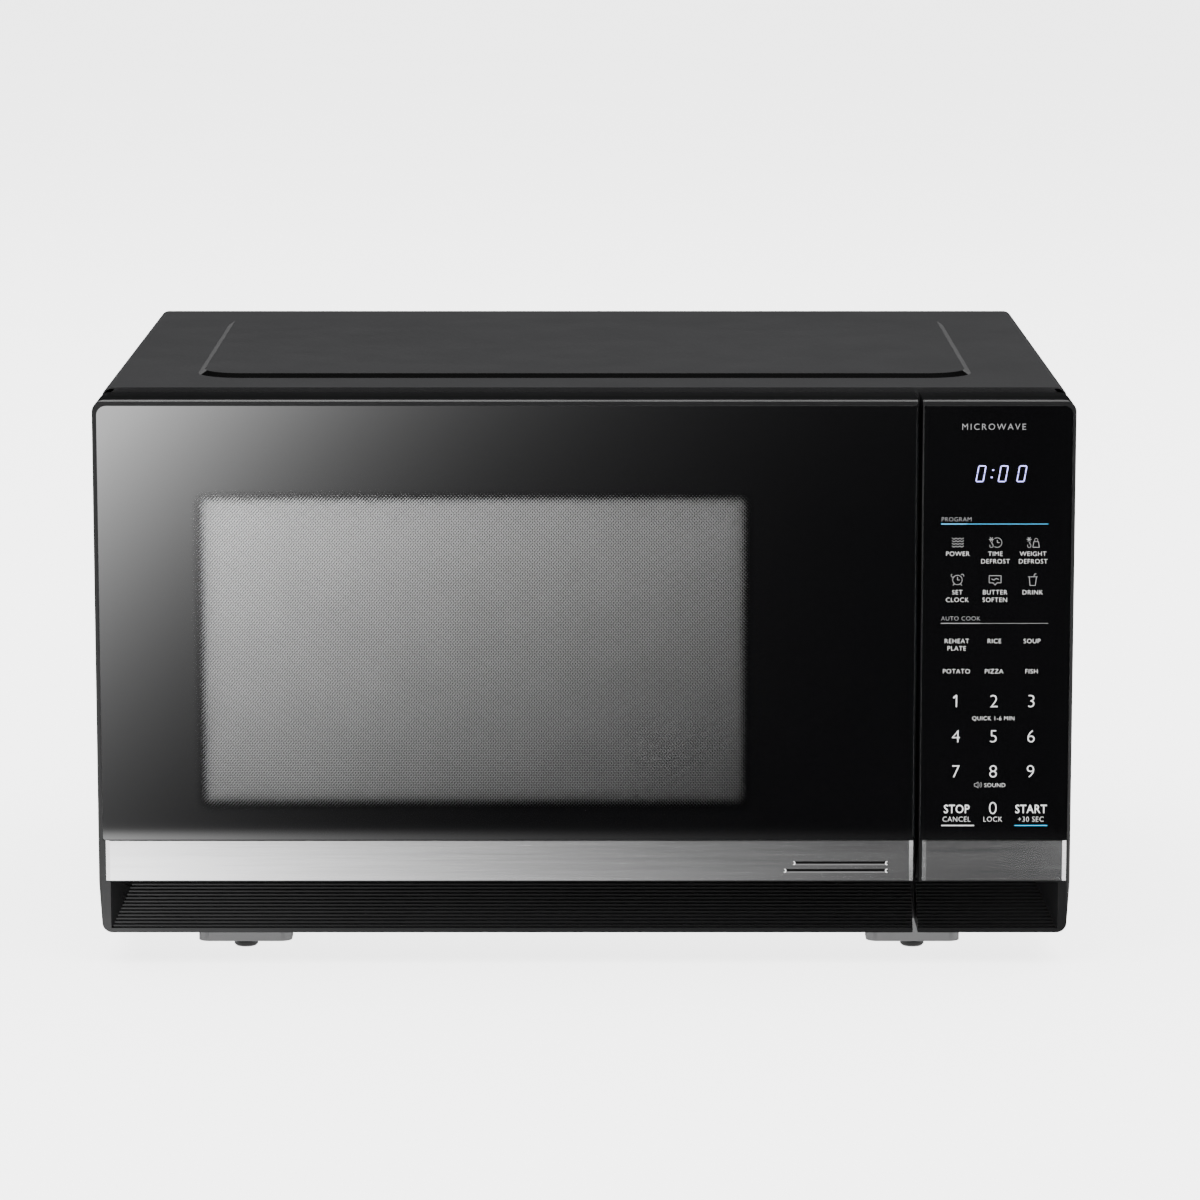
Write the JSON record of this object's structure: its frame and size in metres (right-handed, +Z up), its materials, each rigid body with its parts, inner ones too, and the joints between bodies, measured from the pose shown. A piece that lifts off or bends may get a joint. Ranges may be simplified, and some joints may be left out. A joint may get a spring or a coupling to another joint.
{
  "type": "microwave oven",
  "caption": "Countertop microwave oven with a left-hinged glass door, finger pocket under a steel strip, touch control panel, turntable, magnetron and inverter inside.",
  "frame": {"origin": "middle of the base on the surface that the feet stand on", "axes": "+Z up, +X to the right seen from the front, the front faces -Y"},
  "size_m": [0.513, 0.4206, 0.3054],
  "materials": {
    "black_paint": "textured black",
    "zinc_steel": "zinc coated",
    "black_rubber": "matt",
    "bright_screw": "bright plated",
    "black_moulding": "matt",
    "satin_moulding": "fine satin",
    "grey_enamel": "smooth baked",
    "mica": "matt",
    "lamp_glass": "clear",
    "white_moulding": "matt",
    "clear_glass": "clear",
    "copper_tube": "bright",
    "aluminium_fin": "satin",
    "ferrite": "matt",
    "green_board": "coated",
    "capacitor_case": "gloss",
    "white_ceramic": "glazed",
    "motor_steel": "satin",
    "blue_sensor": "matt",
    "red_moulding": "matt",
    "black_glass": "printed black",
    "brushed_strip": "brushed along its length",
    "choke_steel": "perforated",
    "window_pane": "clear",
    "display_black": "lit digits"
  },
  "bodies": {
    "cabinet": {"cabinet_wrap": "black_paint", "back_plate": "black_paint", "base_plate": "zinc_steel", "feet": "black_rubber", "cabinet_screws": "bright_screw", "cord_gland": "black_moulding", "rear_spacers": "black_moulding", "front_plate": "black_paint", "cavity_liner": "grey_enamel", "waveguide_cover": "mica", "cavity_lamp": "lamp_glass", "lamp_holder": "white_moulding", "turntable_motor": "zinc_steel", "waveguide": "zinc_steel", "magnetron_tube": "copper_tube", "magnetron_fins": "aluminium_fin", "magnetron_magnets": "ferrite", "magnetron_yoke": "zinc_steel", "magnetron_filter_box": "zinc_steel", "inverter_board": "green_board", "inverter_heat_sink": "aluminium_fin", "inverter_transformer": "ferrite", "inverter_capacitors": "capacitor_case", "board_posts": "white_moulding", "mains_filter_board": "green_board", "mains_fuse": "white_ceramic", "fan_shroud": "black_moulding", "fan_motor": "motor_steel", "air_duct": "black_moulding", "humidity_sensor": "blue_sensor", "thermal_cutouts": "black_moulding", "latch_bracket": "white_moulding", "interlock_switches": "black_moulding", "hinge_brackets": "zinc_steel", "panel_body": "satin_moulding", "panel_glass": "black_glass", "panel_strip": "brushed_strip", "control_board": "green_board", "display_module": "display_black"},
    "door": {"door_frame": "satin_moulding", "door_glass": "black_glass", "door_strip": "brushed_strip", "choke_panel": "choke_steel", "inner_window": "window_pane", "door_rear_cover": "satin_moulding", "hinge_pins": "bright_screw", "latch_spring": "bright_screw"},
    "latch": {"latch_hooks": "white_moulding"},
    "primary": {"primary_plunger": "red_moulding"},
    "monitor": {"monitor_plunger": "red_moulding"},
    "secondary": {"secondary_plunger": "red_moulding"},
    "coupler": {"drive_coupler": "white_moulding", "turntable_shaft": "bright_screw"},
    "tray": {"glass_tray": "clear_glass"},
    "ring": {"roller_ring": "white_moulding"},
    "roller_1": {"ring_roller_1": "white_moulding"},
    "roller_2": {"ring_roller_2": "white_moulding"},
    "roller_3": {"ring_roller_3": "white_moulding"},
    "fan": {"fan_blade": "black_moulding", "fan_shaft": "bright_screw"}
  },
  "joints": [
    {"name": "door_hinge", "type": "hinge", "parent": "cabinet", "child": "door", "pos_m": [-0.2495, -0.18625, 0.017], "axis": [0, 0, -1], "range_deg": [0, 110]},
    {"name": "latch_slide", "type": "slide", "parent": "door", "child": "latch", "axis": [0, 0, 1], "range_m": [0, 0.003], "stiffness_N_per_m": 150, "springref_m": -0.004, "deforming": ["latch_spring"]},
    {"name": "primary_press", "type": "slide", "parent": "cabinet", "child": "primary", "axis": [0, 1, 0], "range_m": [0, 0.0012], "stiffness_N_per_m": 60, "springref_m": -0.0005},
    {"name": "monitor_press", "type": "slide", "parent": "cabinet", "child": "monitor", "axis": [0, 1, 0], "range_m": [0, 0.0012], "stiffness_N_per_m": 60, "springref_m": -0.0005},
    {"name": "secondary_press", "type": "slide", "parent": "cabinet", "child": "secondary", "axis": [0, 1, 0], "range_m": [0, 0.0012], "stiffness_N_per_m": 60, "springref_m": -0.0005},
    {"name": "coupler_spin", "type": "hinge", "parent": "cabinet", "child": "coupler", "pos_m": [-0.058, 0.00025, 0.0602], "axis": [0, 0, 1], "continuous": true},
    {"name": "tray_lift", "type": "slide", "parent": "coupler", "child": "tray", "axis": [0, 0, 1], "range_m": [0, 0.03]},
    {"name": "ring_spin", "type": "hinge", "parent": "cabinet", "child": "ring", "pos_m": [-0.058, 0.00025, 0.068], "axis": [0, 0, 1], "continuous": true},
    {"name": "roller_1_spin", "type": "hinge", "parent": "ring", "child": "roller_1", "pos_m": [0.047, 0.00025, 0.068], "axis": [1, 0, 0], "continuous": true},
    {"name": "roller_2_spin", "type": "hinge", "parent": "ring", "child": "roller_2", "pos_m": [-0.1105, 0.09118, 0.068], "axis": [-0.5, 0.866, 0], "continuous": true},
    {"name": "roller_3_spin", "type": "hinge", "parent": "ring", "child": "roller_3", "pos_m": [-0.1105, -0.09068, 0.068], "axis": [-0.5, -0.866, 0], "continuous": true},
    {"name": "fan_spin", "type": "hinge", "parent": "cabinet", "child": "fan", "pos_m": [0.1855, 0.16025, 0.1442], "axis": [0, 1, 0], "continuous": true}
  ],
  "couplings": [
    {"joint": "ring_spin", "follows": "coupler_spin", "ratio": 0.5},
    {"joint": "roller_1_spin", "follows": "coupler_spin", "ratio": -7},
    {"joint": "roller_2_spin", "follows": "coupler_spin", "ratio": -7},
    {"joint": "roller_3_spin", "follows": "coupler_spin", "ratio": -7}
  ]
}
